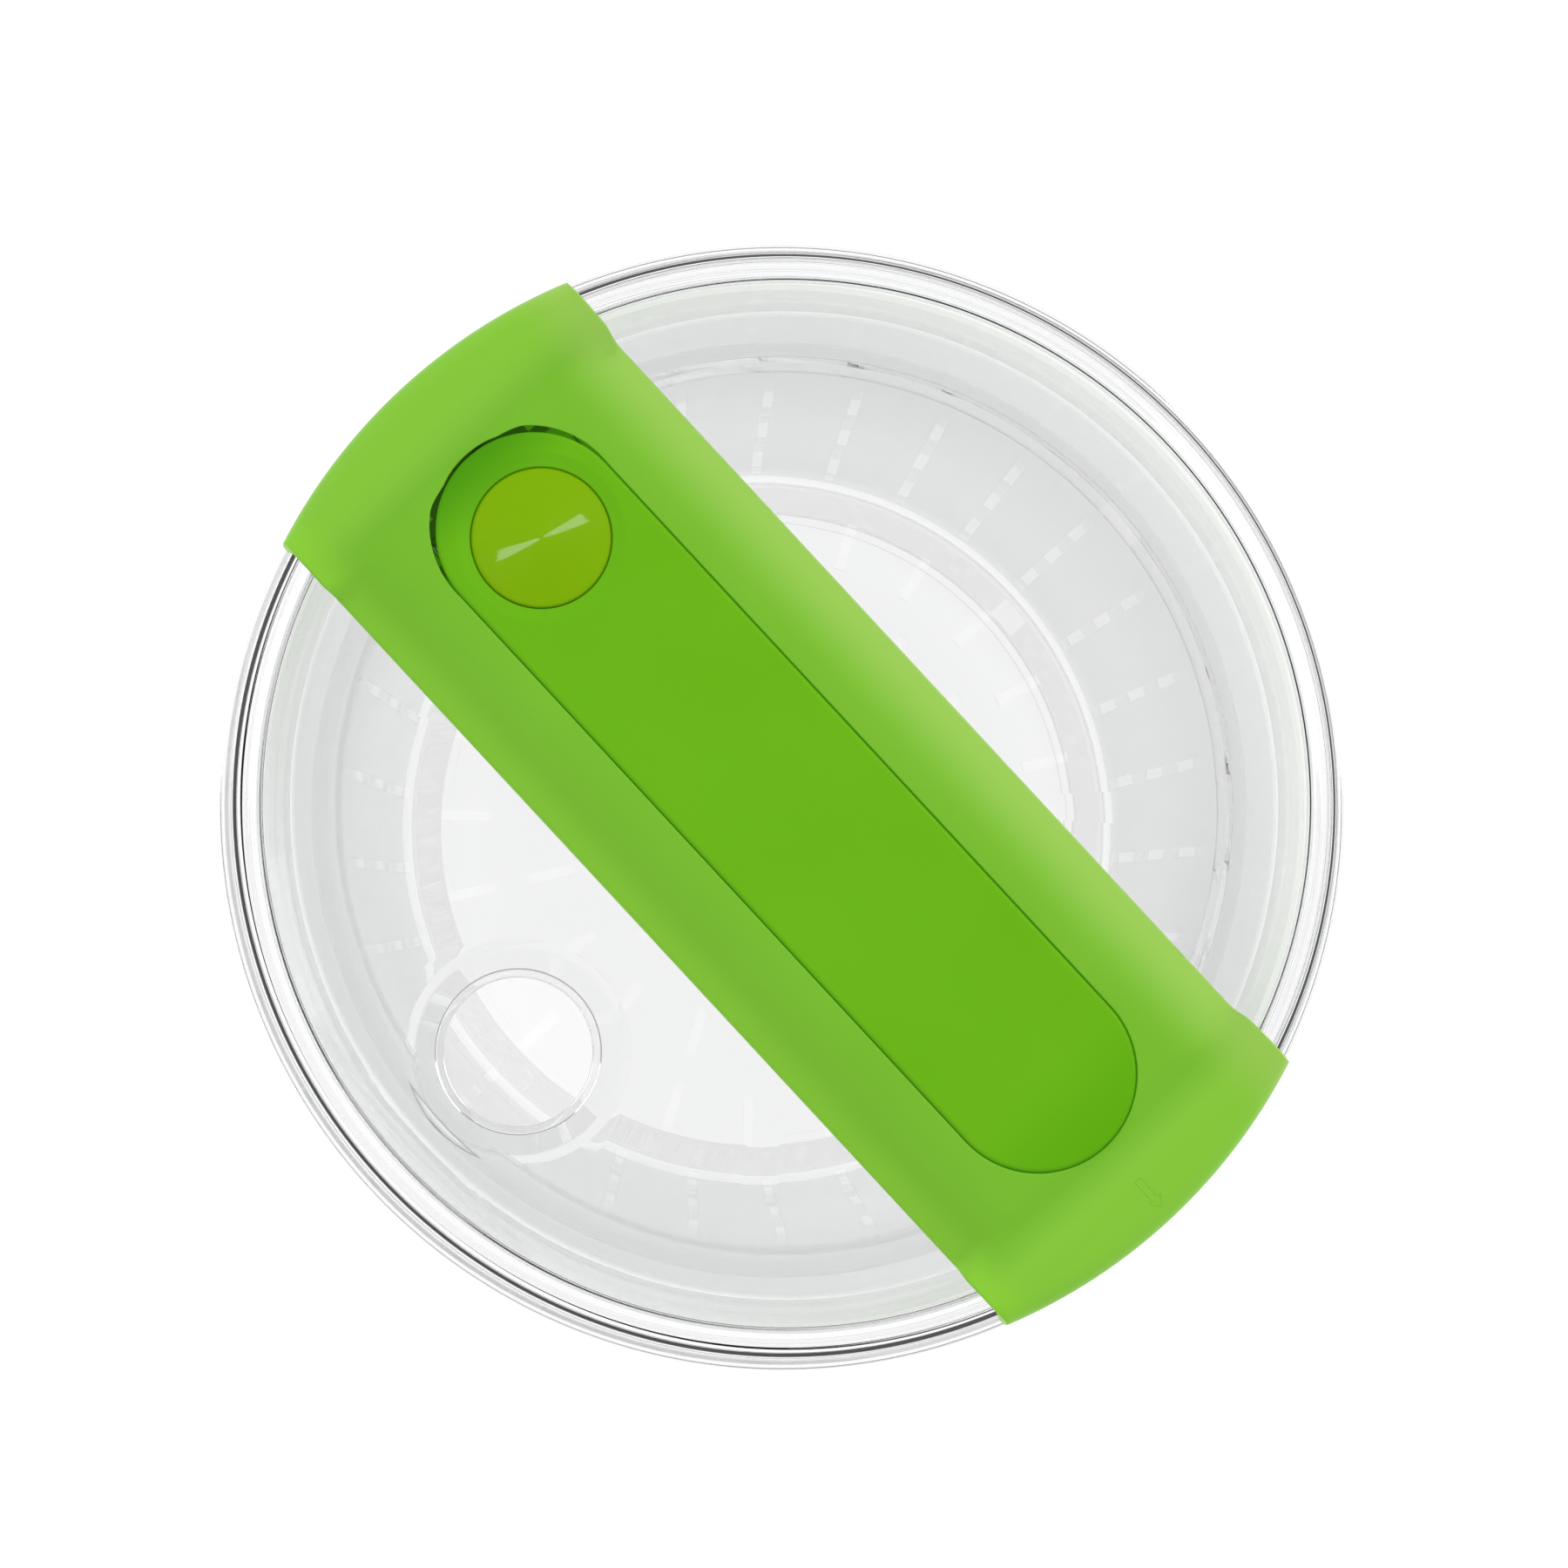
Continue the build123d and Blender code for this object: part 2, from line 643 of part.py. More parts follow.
def make_drive_rack():
    """Sliding rack: upper teeth meet the lever's sector, side teeth the transfer gear."""
    rack = block(RACK_X0, RACK_X1, RACK_Y0, RACK_Y1, RACK_Z0, RACK_Z1)
    top_line = HINGE_Z - SECTOR_PITCH_R
    for number in range(-3, 1):
        centre = HINGE_X + (number + 0.5) * TOOTH_PITCH
        corners = rack_tooth(centre, top_line, RACK_Z1)
        rack += prism_y(corners, RACK_Y0, RACK_Y1)
    side_line = TRANSFER_Y - PINION_PITCH_R
    for number in range(-3, 1):
        centre = TRANSFER_X + number * TOOTH_PITCH
        face = make_face(Polyline(*rack_tooth(centre, side_line, RACK_Y1), close=True))
        rack += extrude(Pos(0, 0, RACK_Z0) * face, amount=RACK_Z1 - RACK_Z0)
    return rack


def make_transfer_gear():
    """Pinion and wheel moulded as one, on the axle."""
    pinion = extrude(Pos(0, 0, 139.3) * gear_face(PINION_TEETH, -90.0 + 18.0), amount=5.0)
    to_centre = math.degrees(math.atan2(-TRANSFER_Y, -TRANSFER_X))
    wheel = extrude(
        Pos(0, 0, WHEEL_Z0) * gear_face(WHEEL_TEETH, to_centre), amount=WHEEL_Z1 - WHEEL_Z0
    )
    gear = pinion + rod(4.6, 139.3, WHEEL_Z1) + wheel
    gear -= rod(HINGE_PIN_R + RUNNING, 130.0, 165.0)
    for spot in PolarLocations(10.0, 6, start_angle=to_centre + 30.0):
        gear -= spot * Pos(0, 0, WHEEL_Z0) * Cylinder(3.0, 20.0)
    return Pos(TRANSFER_X, TRANSFER_Y, 0) * gear


def make_clutch_gear():
    """Small gear on the drive shaft; its hub carries the upper half of the wrap spring."""
    to_transfer = math.degrees(math.atan2(TRANSFER_Y, TRANSFER_X))
    face = gear_face(CLUTCH_TEETH, to_transfer + 180.0 / CLUTCH_TEETH)
    gear = extrude(Pos(0, 0, WHEEL_Z0) * face, amount=WHEEL_Z1 - WHEEL_Z0)
    gear += rod(5.0, 147.3, WHEEL_Z0 + 0.5)
    return gear - rod(SHAFT_R + RUNNING, 140.0, 160.0)


def make_clutch_spring():
    """Wrap spring that drives one way and slips the other."""
    return Pos(0, 0, 143.0) * coil(5.8, 0.5, 8.6, 6)


def make_drive_shaft():
    """Steel shaft with a tapped lower end."""
    return rod(SHAFT_R, SHAFT_LOW, SHAFT_TOP) - rod(1.45, SHAFT_LOW - 1, 137.0)


def make_spindle_hub():
    """Cup on the shaft: brake drum outside, wrap spring seat inside."""
    hub = rod(DRUM_R, 141.2, 152.3) - rod(6.9, 142.3, 160.0)
    hub += rod(5.0, 141.5, 147.0)
    return hub - rod(SHAFT_R + 0.02, 140.0, 160.0)


def make_shaft_clip():
    """Retaining ring above the clutch gear."""
    ring = tube(4.4, SHAFT_R + 0.02, 157.1, 157.6)
    return ring - block(0.0, 6.0, -1.2, 1.2, 156.0, 159.0)


def make_driver_arm():
    """Two-armed driver whose fingers drop between the basket's ribs."""
    arm = block(-104.0, 104.0, -ARM_HALF_W, ARM_HALF_W, 131.2, 134.8)
    arm += block(-90.0, 90.0, -1.5, 1.5, 127.5, 131.2)
    for side in (-1, 1):
        low_x, high_x = sorted((side * FINGER_X, side * 104.0))
        arm += block(low_x, high_x, -ARM_HALF_W, ARM_HALF_W, FINGER_LOW, 131.2)
    arm &= rod(ARM_R, 110.0, 150.0)
    arm += rod(DRIVER_HUB_R, 127.5, DRIVER_TOP)
    return arm - rod(SHAFT_R + 0.02, 120.0, 140.0)


def make_driver_screw():
    """Screw that holds the driver to the shaft."""
    screw = rod(4.6, 124.7, SHAFT_LOW) + rod(1.4, SHAFT_LOW, 136.0)
    return screw - block(-3.2, 3.2, -0.5, 0.5, 124.0, 125.8)


PARTS = {
    "bowl": make_bowl,
    "base_ring": make_base_ring,
    "pivot_pin": make_pivot_pin,
    "pivot_foot": make_pivot_foot,
    "basket": make_basket,
    "basket_bush": make_basket_bush,
    "lid": make_lid,
    "handle_bar": make_handle_bar,
    "gear_tray": make_gear_tray,
    "tray_screws": make_tray_screws,
    "hinge_pin": make_hinge_pin,
    "lever_spring": make_lever_spring,
    "transfer_axle": make_transfer_axle,
    "spindle_bush": make_spindle_bush,
    "top_bush": make_top_bush,
    "lever_cover": make_lever_cover,
    "lever_core": make_lever_core,
    "lever_sector": make_lever_sector,
    "button_cap": make_button_cap,
    "button_stem": make_button_stem,
    "button_spring": make_button_spring,
    "brake_slider": make_brake_slider,
    "brake_pad": make_brake_pad,
    "brake_spring": make_brake_spring,
    "drive_rack": make_drive_rack,
    "transfer_gear": make_transfer_gear,
    "clutch_gear": make_clutch_gear,
    "clutch_spring": make_clutch_spring,
    "drive_shaft": make_drive_shaft,
    "spindle_hub": make_spindle_hub,
    "shaft_clip": make_shaft_clip,
    "driver_arm": make_driver_arm,
    "driver_screw": make_driver_screw,
}

os.makedirs("parts", exist_ok=True)
for name, make in PARTS.items():
    export_step(make(), os.path.join("parts", name + ".step"))
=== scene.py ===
"""Looks for the lever-pump salad spinner: clear bowl, basket and lid, green bar and lever."""

import json
import math

import bmesh
import bpy
from mathutils import Matrix, Vector


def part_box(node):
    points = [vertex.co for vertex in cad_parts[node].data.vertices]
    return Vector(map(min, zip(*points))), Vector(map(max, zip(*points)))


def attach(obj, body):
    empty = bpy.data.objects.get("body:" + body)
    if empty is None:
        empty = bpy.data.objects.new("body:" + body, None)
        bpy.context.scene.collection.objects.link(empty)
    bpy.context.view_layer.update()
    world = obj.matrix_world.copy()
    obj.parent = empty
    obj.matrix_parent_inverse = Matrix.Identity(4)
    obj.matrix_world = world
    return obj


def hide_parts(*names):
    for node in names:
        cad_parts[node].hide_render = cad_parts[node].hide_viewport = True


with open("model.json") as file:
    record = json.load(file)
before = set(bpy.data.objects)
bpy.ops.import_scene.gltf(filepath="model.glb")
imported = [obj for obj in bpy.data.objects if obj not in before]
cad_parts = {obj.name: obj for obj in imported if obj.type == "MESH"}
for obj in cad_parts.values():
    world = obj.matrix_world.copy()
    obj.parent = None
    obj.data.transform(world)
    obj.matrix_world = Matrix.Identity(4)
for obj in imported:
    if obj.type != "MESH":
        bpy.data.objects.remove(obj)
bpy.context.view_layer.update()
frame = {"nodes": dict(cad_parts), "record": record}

MM = 0.001


def box_mm(node):
    """Lowest and highest corner of a CAD node in millimetres."""
    low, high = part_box(node)
    return low / MM, high / MM


# ---- sizes read from the frame, in millimetres ----
LID_LOW, LID_HIGH = box_mm("lid")
BAR_HIGH = box_mm("handle_bar")[1]
LEVER_LOW, LEVER_HIGH = box_mm("lever_cover")
BUTTON_LOW, BUTTON_HIGH = box_mm("button_cap")
BOWL_HIGH = box_mm("bowl")[1]

LID_R = LID_HIGH.x
RIM_Z = LID_HIGH.z
DISC_Z = RIM_Z - 8.6
DISC_UNDER = DISC_Z - 2.4
DISC_R = LID_R - 16.8
RIM_IN_R = LID_R - 10.4
SKIRT_R = LID_R - 26.6
POUR_Y = -83.5
POUR_R = 17.0
COLLAR_R = POUR_R + 2.2
BOSS_R = 26.0

CLIP_R = BAR_HIGH.x - 0.1
CLIP_TOP = BAR_HIGH.z - 0.25
CLIP_W = BAR_HIGH.y
CLIP_LOW = RIM_Z - 16.0
BAR_W = CLIP_W - 0.6
BAR_Z = RIM_Z - 0.3
BAR_EDGE_Z = RIM_Z - 7.0
CROWN_W = 24.5
FLOOR_Z = RIM_Z - 6.4
VALLEY_Z = RIM_Z - 1.2
VALLEY_X = 104.5
ROLL_EDGE = 4.5

LEVER_L = LEVER_HIGH.x - LEVER_LOW.x
LEVER_W = LEVER_HIGH.y - LEVER_LOW.y
LEVER_X = (LEVER_HIGH.x + LEVER_LOW.x) / 2
LEVER_Z = LEVER_HIGH.z
LEVER_UNDER = LEVER_LOW.z
LEVER_SKIN = 2.0
RECESS_GAP = 0.32
RELIEF = 1.6
UNDERCUT = 2.85
UNDERCUT_Z = RIM_Z - 3.9

# openings under the lever's hinge end, each as (start x, end x, half width)
HINGE_WINDOW = (-111.0, -63.0, 15.0)
CORE_WINDOW = (-103.0, -63.0, 22.0)

BUTTON_X = (BUTTON_HIGH.x + BUTTON_LOW.x) / 2
BUTTON_R = (BUTTON_HIGH.x - BUTTON_LOW.x) / 2
BUTTON_HOLE_R = BUTTON_R + 0.45
SINK_R = 20.0
SINK_DEEP = 0.7


# ---- small helpers ----


def smooth(low, high, value):
    """Smooth step from 0 at low to 1 at high."""
    t = min(1.0, max(0.0, (value - low) / (high - low)))
    return t * t * (3 - 2 * t)


def mix(a, b, t):
    """The value a share t of the way from a to b."""
    return a + (b - a) * t


def new_object(name, mesh_data):
    """An object in the scene from a bmesh whose points are in millimetres."""
    bmesh.ops.recalc_face_normals(mesh_data, faces=mesh_data.faces)
    mesh = bpy.data.meshes.new(name)
    mesh_data.to_mesh(mesh)
    mesh_data.free()
    mesh.transform(Matrix.Scale(MM, 4))
    obj = bpy.data.objects.new(name, mesh)
    bpy.context.scene.collection.objects.link(obj)
    return obj


def shade(obj, angle=32.0):
    """Smooth shading, with edges sharper than the angle left crisp."""
    obj.data.shade_smooth()
    obj.data.set_sharp_from_angle(angle=math.radians(angle))


def settle(obj):
    """Replaces the mesh by the result of its modifiers."""
    graph = bpy.context.evaluated_depsgraph_get()
    mesh = bpy.data.meshes.new_from_object(obj.evaluated_get(graph))
    obj.modifiers.clear()
    obj.data = mesh
    return obj


def combine(obj, tools, operation):
    """Joins closed tools to a closed piece, or cuts them out of it, and removes the tools."""
    for tool in tools:
        modifier = obj.modifiers.new("combine", "BOOLEAN")
        modifier.operation = operation
        modifier.solver = "EXACT"
        modifier.object = tool
    settle(obj)
    for tool in tools:
        bpy.data.objects.remove(tool)
    return obj


def rounded(points, radii, steps=6):
    """A closed outline with each corner turned by an arc of the radius given for it."""
    result = []
    count = len(points)
    for i, corner in enumerate(points):
        radius = radii.get(i, 0.0)
        here = Vector(corner)
        if radius == 0.0:
            result.append(here)
            continue
        before = (Vector(points[i - 1]) - here).normalized()
        after = (Vector(points[(i + 1) % count]) - here).normalized()
        half = before.angle(after) / 2
        reach = radius / math.tan(half)
        centre = here + (before + after).normalized() * (radius / math.sin(half))
        start = here + before * reach - centre
        end = here + after * reach - centre
        sweep = start.angle_signed(end)
        for step in range(steps + 1):
            turn = Matrix.Rotation(-sweep * step / steps, 2)
            result.append(centre + turn @ start)
    return result


def turned(name, outline, segments=256, centre=(0.0, 0.0)):
    """A body of revolution about an upright axis, from a closed outline of (radius, height)."""
    mesh_data = bmesh.new()
    rings = []
    for radius, height in outline:
        if radius < 1e-6:
            rings.append([mesh_data.verts.new((centre[0], centre[1], height))] * segments)
            continue
        ring = []
        for k in range(segments):
            angle = 2 * math.pi * k / segments
            x = centre[0] + radius * math.cos(angle)
            y = centre[1] + radius * math.sin(angle)
            ring.append(mesh_data.verts.new((x, y, height)))
        rings.append(ring)
    skin(mesh_data, rings, closed=True)
    return new_object(name, mesh_data)


def skin(mesh_data, rings, closed):
    """Faces between rings of equal length, and from the last ring to the first if closed."""
    count = len(rings[0])
    pairs = list(zip(rings, rings[1:]))
    if closed:
        pairs.append((rings[-1], rings[0]))
    for low, high in pairs:
        for k in range(count):
            j = (k + 1) % count
            corners = []
            for vert in (low[k], low[j], high[j], high[k]):
                if vert not in corners:
                    corners.append(vert)
            if len(corners) > 2:
                mesh_data.faces.new(corners)


def lofted(name, rows, closed=False):
    """A closed solid from equal rows of points, capped at both ends unless it closes on itself."""
    mesh_data = bmesh.new()
    rings = [[mesh_data.verts.new(point) for point in row] for row in rows]
    skin(mesh_data, rings, closed)
    if not closed:
        mesh_data.faces.new(rings[0])
        mesh_data.faces.new(rings[-1])
    bmesh.ops.remove_doubles(mesh_data, verts=mesh_data.verts, dist=1e-4)
    bmesh.ops.dissolve_degenerate(mesh_data, edges=mesh_data.edges, dist=1e-5)
    return new_object(name, mesh_data)


def block(x0, x1, half_width, z0, z1):
    """A plain cutting block, even about the bar's middle line."""
    rows = []
    for z in (z0, z1):
        rows.append([(x0, -half_width, z), (x1, -half_width, z), (x1, half_width, z), (x0, half_width, z)])
    return lofted("block", rows)


def rod(radius, z0, z1, x=0.0, y=0.0, segments=64):
    """An upright cutting cylinder."""
    return turned("rod", [(0, z0), (radius, z0), (radius, z1), (0, z1)], segments, (x, y))


def slot_outline(length, width, straight, arc):
    """Points round a slot as (x, y, outward x, outward y), from the +X end of its +Y side."""
    half = (length - width) / 2
    radius = width / 2
    points = []
    for side in (1, -1):
        for k in range(straight):
            along = side * (half - 2 * half * k / straight)
            points.append((LEVER_X + along, side * radius, 0.0, side))
        for k in range(arc):
            angle = side * math.pi / 2 + math.pi * k / arc
            c, s = math.cos(angle), math.sin(angle)
            points.append((LEVER_X - side * half + radius * c, radius * s, c, s))
    return points


def grown(outline, distance, z):
    """The row of points a distance outside an outline, at one height."""
    return [(x + nx * distance, y + ny * distance, z) for x, y, nx, ny in outline]


# ---- clear lid and bowl ----


def make_lid():
    """Clear lid with its rolled rim, sunken disc, skirt, pour hole and windows under the bar."""
    lip_z = RIM_Z - 18.8
    outline = [
        (0, DISC_UNDER),
        (0, DISC_Z),
        (DISC_R, DISC_Z),
        (RIM_IN_R, RIM_Z),
        (LID_R - 5.0, RIM_Z),
        (LID_R - 3.4, RIM_Z - 2.4),
        (LID_R - 2.1, lip_z + 1.4),
        (LID_R, lip_z),
        (LID_R, LID_LOW.z + 6.5),
        (LID_R - 2.0, LID_LOW.z + 6.5),
        (LID_R - 2.0, BOWL_HIGH.z + 0.4),
        (LID_R - 4.4, BOWL_HIGH.z + 0.4),
        (LID_R - 5.6, RIM_Z - 3.4),
        (RIM_IN_R + 1.3, RIM_Z - 2.4),
        (DISC_R + 1.3, DISC_UNDER),
        (SKIRT_R, DISC_UNDER),
        (SKIRT_R, LID_LOW.z),
        (SKIRT_R - 1.4, LID_LOW.z),
        (SKIRT_R - 1.4, DISC_UNDER),
    ]
    radii = {2: 2.0, 3: 1.4, 4: 1.2, 5: 1.2, 7: 0.6, 8: 0.5, 9: 0.5, 12: 0.8, 13: 0.8}
    lid = turned("lid_shell", rounded(outline, radii), 320)
    low, high = DISC_UNDER - 6.0, DISC_Z + 2.0
    tools = [
        block(*HINGE_WINDOW, low, high),
        block(*CORE_WINDOW, low, high),
        block(-103.0, -92.0, 30.0, DISC_UNDER - 1.0, high),
        block(-108.0, -90.0, 36.0, LID_LOW.z - 1.0, DISC_UNDER),
        rod(4.2, low, high),
        rod(POUR_R + 0.8, low, high, 0.0, POUR_Y, 128),
    ]
    for x in (-78.0, -48.0, 28.0):
        for y in (-29.5, 29.5):
            tools.append(rod(1.8, low, high, x, y, 32))
    combine(lid, tools, "DIFFERENCE")
    collar = [
        (POUR_R, DISC_UNDER - 4.5),
        (COLLAR_R, DISC_UNDER - 4.5),
        (COLLAR_R, DISC_UNDER + 0.5),
        (BOSS_R, DISC_UNDER + 0.5),
        (BOSS_R, DISC_Z + 0.02),
        (BOSS_R - 2.4, DISC_Z + 0.6),
        (POUR_R, DISC_Z + 0.6),
    ]
    ring = turned("ring", rounded(collar, {0: 0.5, 1: 0.5, 5: 2.0, 6: 0.7}), 128, (0.0, POUR_Y))
    combine(lid, [ring], "UNION")
    shade(lid, 28.0)
    return lid


def make_bowl():
    """Clear bowl with a double foot wall, a middle boss and a turned-out rim."""
    top = BOWL_HIGH.z
    outline = [
        (0, 4.0),
        (78.0, 4.0),
        (78.0, 1.2),
        (80.0, 1.2),
        (80.0, 4.0),
        (88.0, 4.0),
        (88.0, 1.2),
        (90.0, 1.2),
        (92.0, 6.0),
        (112.0, 44.0),
        (LID_R - 7.4, top - 3.4),
        (LID_R - 2.6, top - 2.6),
        (LID_R - 2.6, top),
        (LID_R - 9.4, top),
        (109.6, 44.0),
        (89.6, 6.5),
        (8.0, 6.5),
        (8.0, 9.9),
        (3.0, 9.9),
        (3.0, 5.0),
        (0, 5.0),
    ]
    radii = {9: 120.0, 14: 117.6, 15: 8.0, 8: 6.0, 10: 2.0, 12: 0.8, 13: 0.6, 16: 1.2, 17: 0.6}
    bowl = turned("bowl_shell", rounded(outline, radii, 10), 320)
    shade(bowl, 28.0)
    return bowl


# ---- handle bar ----


def roll_height(x, y):
    """Height of the clip's roll: up from the valley to its top, then round to its outer edge."""
    start = VALLEY_X + 2.5 + 1.5 * math.cos(math.pi * min(1.0, abs(y) / CLIP_W) / 2)
    rise = min(1.0, max(0.0, (abs(x) - start) / 10.5))
    height = mix(VALLEY_Z, CLIP_TOP, math.sin(math.pi * rise / 2) ** 1.2)
    inside = CLIP_R - math.hypot(x, y)
    if inside < ROLL_EDGE:
        short = ROLL_EDGE - max(0.0, inside)
        height -= ROLL_EDGE - math.sqrt(max(0.0, ROLL_EDGE**2 - short**2))
    return height


def bar_height(x, y):
    """Height of the bar's surface: a flat crown with falling shoulders, and a roll at each end."""
    fall = max(0.0, (abs(y) - CROWN_W) / (BAR_W - CROWN_W))
    crown = BAR_Z - (BAR_Z - BAR_EDGE_Z) * min(1.0, fall) ** 2
    share = smooth(VALLEY_X - 2.0, VALLEY_X + 3.5, abs(x))
    return mix(crown, roll_height(x, y), share)


def half_width(x):
    """Half the width of the bar, which is a little more at its clips."""
    return mix(BAR_W, CLIP_W, smooth(VALLEY_X, VALLEY_X + 4.5, abs(x)))


def lid_clearance(r):
    """Height of the underside of the bar, which hooks over the lid's rim."""
    steps = (
        (DISC_R - 0.2, DISC_Z),
        (RIM_IN_R - 0.2, RIM_Z + 0.3),
        (LID_R - 4.8, RIM_Z + 0.3),
        (LID_R - 3.0, RIM_Z - 2.1),
        (LID_R - 1.8, CLIP_LOW),
    )
    if r <= steps[0][0]:
        return steps[0][1]
    for (r0, z0), (r1, z1) in zip(steps, steps[1:]):
        if r <= r1:
            return mix(z0, z1, (r - r0) / (r1 - r0))
    return steps[-1][1]


def bar_outline(straight, arc):
    """Points round the bar, in step with slot_outline's."""
    corner_x = math.sqrt(CLIP_R**2 - CLIP_W**2)
    corner = math.asin(CLIP_W / CLIP_R)
    points = []
    for side in (1, -1):
        for k in range(straight):
            x = side * (corner_x - 2 * corner_x * k / straight)
            points.append((x, side * half_width(x)))
        for k in range(arc):
            angle = (math.pi if side > 0 else 0.0) - corner + 2 * corner * k / arc
            points.append((CLIP_R * math.cos(angle), CLIP_R * math.sin(angle)))
    return points


def edge_fall(distance, radius):
    """How far a rounded edge lies under its surface, at a distance from the edge."""
    if distance >= radius:
        return 0.0
    return radius - math.sqrt(radius**2 - (radius - distance) ** 2)


def make_bar():
    """Green bar: lever recess, crowned top, rolled clips and skirts that stand on the lid."""
    straight, arc = 160, 96
    inner_round, outer_round = 0.25, 1.0
    slot = slot_outline(LEVER_L + 2 * RECESS_GAP, LEVER_W + 2 * RECESS_GAP, straight, arc)
    outer = bar_outline(straight, arc)
    undercut_top = UNDERCUT_Z + UNDERCUT
    floor_row, under_row, wall_row = [], [], []
    inner = []
    for x, y, nx, ny in slot:
        lip_z = bar_height(x, y) - inner_round
        share = smooth(-90.0, -91.0, x)
        relief = RELIEF * max(0.0, -nx) * smooth(-107.5, -103.0, x) if x < LEVER_LOW.x + 25.0 else 0.0
        lip = max(relief, max(0.0, undercut_top - lip_z) * share)
        spread = max(relief, UNDERCUT * share)
        floor_row.append((x + nx * spread, y + ny * spread, FLOOR_Z))
        under_row.append((x + nx * spread, y + ny * spread, UNDERCUT_Z))
        wall_z = min(undercut_top, lip_z - 0.1)
        wall = max(relief, max(0.0, undercut_top - wall_z) * share)
        wall_row.append((x + nx * wall, y + ny * wall, wall_z))
        inner.append((x + nx * lip, y + ny * lip))
    near = (0.0, 0.04, 0.12, 0.25)
    far = (4.5, 3.5, 2.7, 2.0, 1.4, 1.0, 0.65, 0.35, 0.15, 0.04, 0.0)
    spans = 40
    rows = [floor_row, under_row, wall_row]
    for kind, amounts in (("near", near), ("middle", range(1, spans)), ("far", far)):
        for amount in amounts:
            row = []
            for (xi, yi), (xo, yo) in zip(inner, outer):
                length = math.hypot(xo - xi, yo - yi)
                if kind == "near":
                    t = amount / length
                elif kind == "far":
                    t = 1.0 - amount / length
                else:
                    t = mix(near[-1] / length, 1.0 - far[0] / length, amount / spans)
                x, y = mix(xi, xo, t), mix(yi, yo, t)
                z = bar_height(x, y) - edge_fall(t * length, inner_round)
                z -= edge_fall((1.0 - t) * length, outer_round) * (0.3 if abs(x) > 121.0 else 1.0)
                row.append((x, y, z))
            rows.append(row)
    for share in (0.5, 1.0):
        row = []
        for (x, y), (_, _, z) in zip(outer, rows[3 + len(near) + spans - 1 + len(far) - 1]):
            foot = min(z - 0.2, lid_clearance(math.hypot(x, y)))
            row.append((x, y, mix(z, foot, share)))
        rows.append(row)
    for radius in (LID_R - 1.8, LID_R - 3.0, LID_R - 4.8, RIM_IN_R - 0.2, DISC_R - 0.2):
        row = []
        for (xi, yi), (xo, yo) in zip(inner, outer):
            t = ray_at_radius(xi, yi, xo, yo, radius)
            x, y = mix(xi, xo, t), mix(yi, yo, t)
            z = min(lid_clearance(math.hypot(x, y)), bar_height(x, y) - 1.0)
            row.append((x, y, z))
        rows.append(row)
    rows.append([(x, y, DISC_Z) for x, y in inner])
    bar = lofted("bar_shell", rows)
    windows = [
        block(*HINGE_WINDOW, DISC_Z - 1.0, UNDERCUT_Z),
        block(*CORE_WINDOW, DISC_Z - 1.0, FLOOR_Z + 0.5),
    ]
    combine(bar, windows, "DIFFERENCE")
    shade(bar, 40.0)
    return bar


def ray_at_radius(xi, yi, xo, yo, radius):
    """Share of the way from an inner to an outer point at which a radius is reached, at most 1."""
    low, high = 0.0, 1.0
    if math.hypot(xo, yo) <= radius:
        return 1.0
    for _ in range(30):
        t = (low + high) / 2
        if math.hypot(mix(xi, xo, t), mix(yi, yo, t)) < radius:
            low = t
        else:
            high = t
    return high


def make_arrow():
    """Fine raised outline of an arrow on the +X clip, pointing outwards."""
    shaft = (117.6, 123.4)
    half = 0.85
    path = [
        (shaft[1], half),
        (shaft[0], half),
        (shaft[0], -half),
        (shaft[1], -half),
        (shaft[1], -2 * half),
        (shaft[1] + 2.4, 0.0),
        (shaft[1], 2 * half),
    ]
    line = bpy.data.curves.new("clip_arrow", "CURVE")
    line.dimensions = "3D"
    line.bevel_depth = 0.11 * MM
    line.bevel_resolution = 3
    spline = line.splines.new("POLY")
    points = []
    for i, (x, y) in enumerate(path):
        following = path[(i + 1) % len(path)]
        pieces = 6
        for k in range(pieces):
            px = mix(x, following[0], k / pieces)
            py = mix(y, following[1], k / pieces)
            points.append((px, py, bar_height(px, py)))
    spline.points.add(len(points) - 1)
    for point, (x, y, z) in zip(spline.points, points):
        point.co = (x * MM, y * MM, z * MM, 1.0)
    spline.use_cyclic_u = True
    curve = bpy.data.objects.new("arrow_line", line)
    bpy.context.scene.collection.objects.link(curve)
    graph = bpy.context.evaluated_depsgraph_get()
    mesh = bpy.data.meshes.new_from_object(curve.evaluated_get(graph))
    bpy.data.objects.remove(curve)
    arrow = bpy.data.objects.new("clip_arrow", mesh)
    bpy.context.scene.collection.objects.link(arrow)
    shade(arrow, 60.0)
    return arrow


# ---- lever and button ----


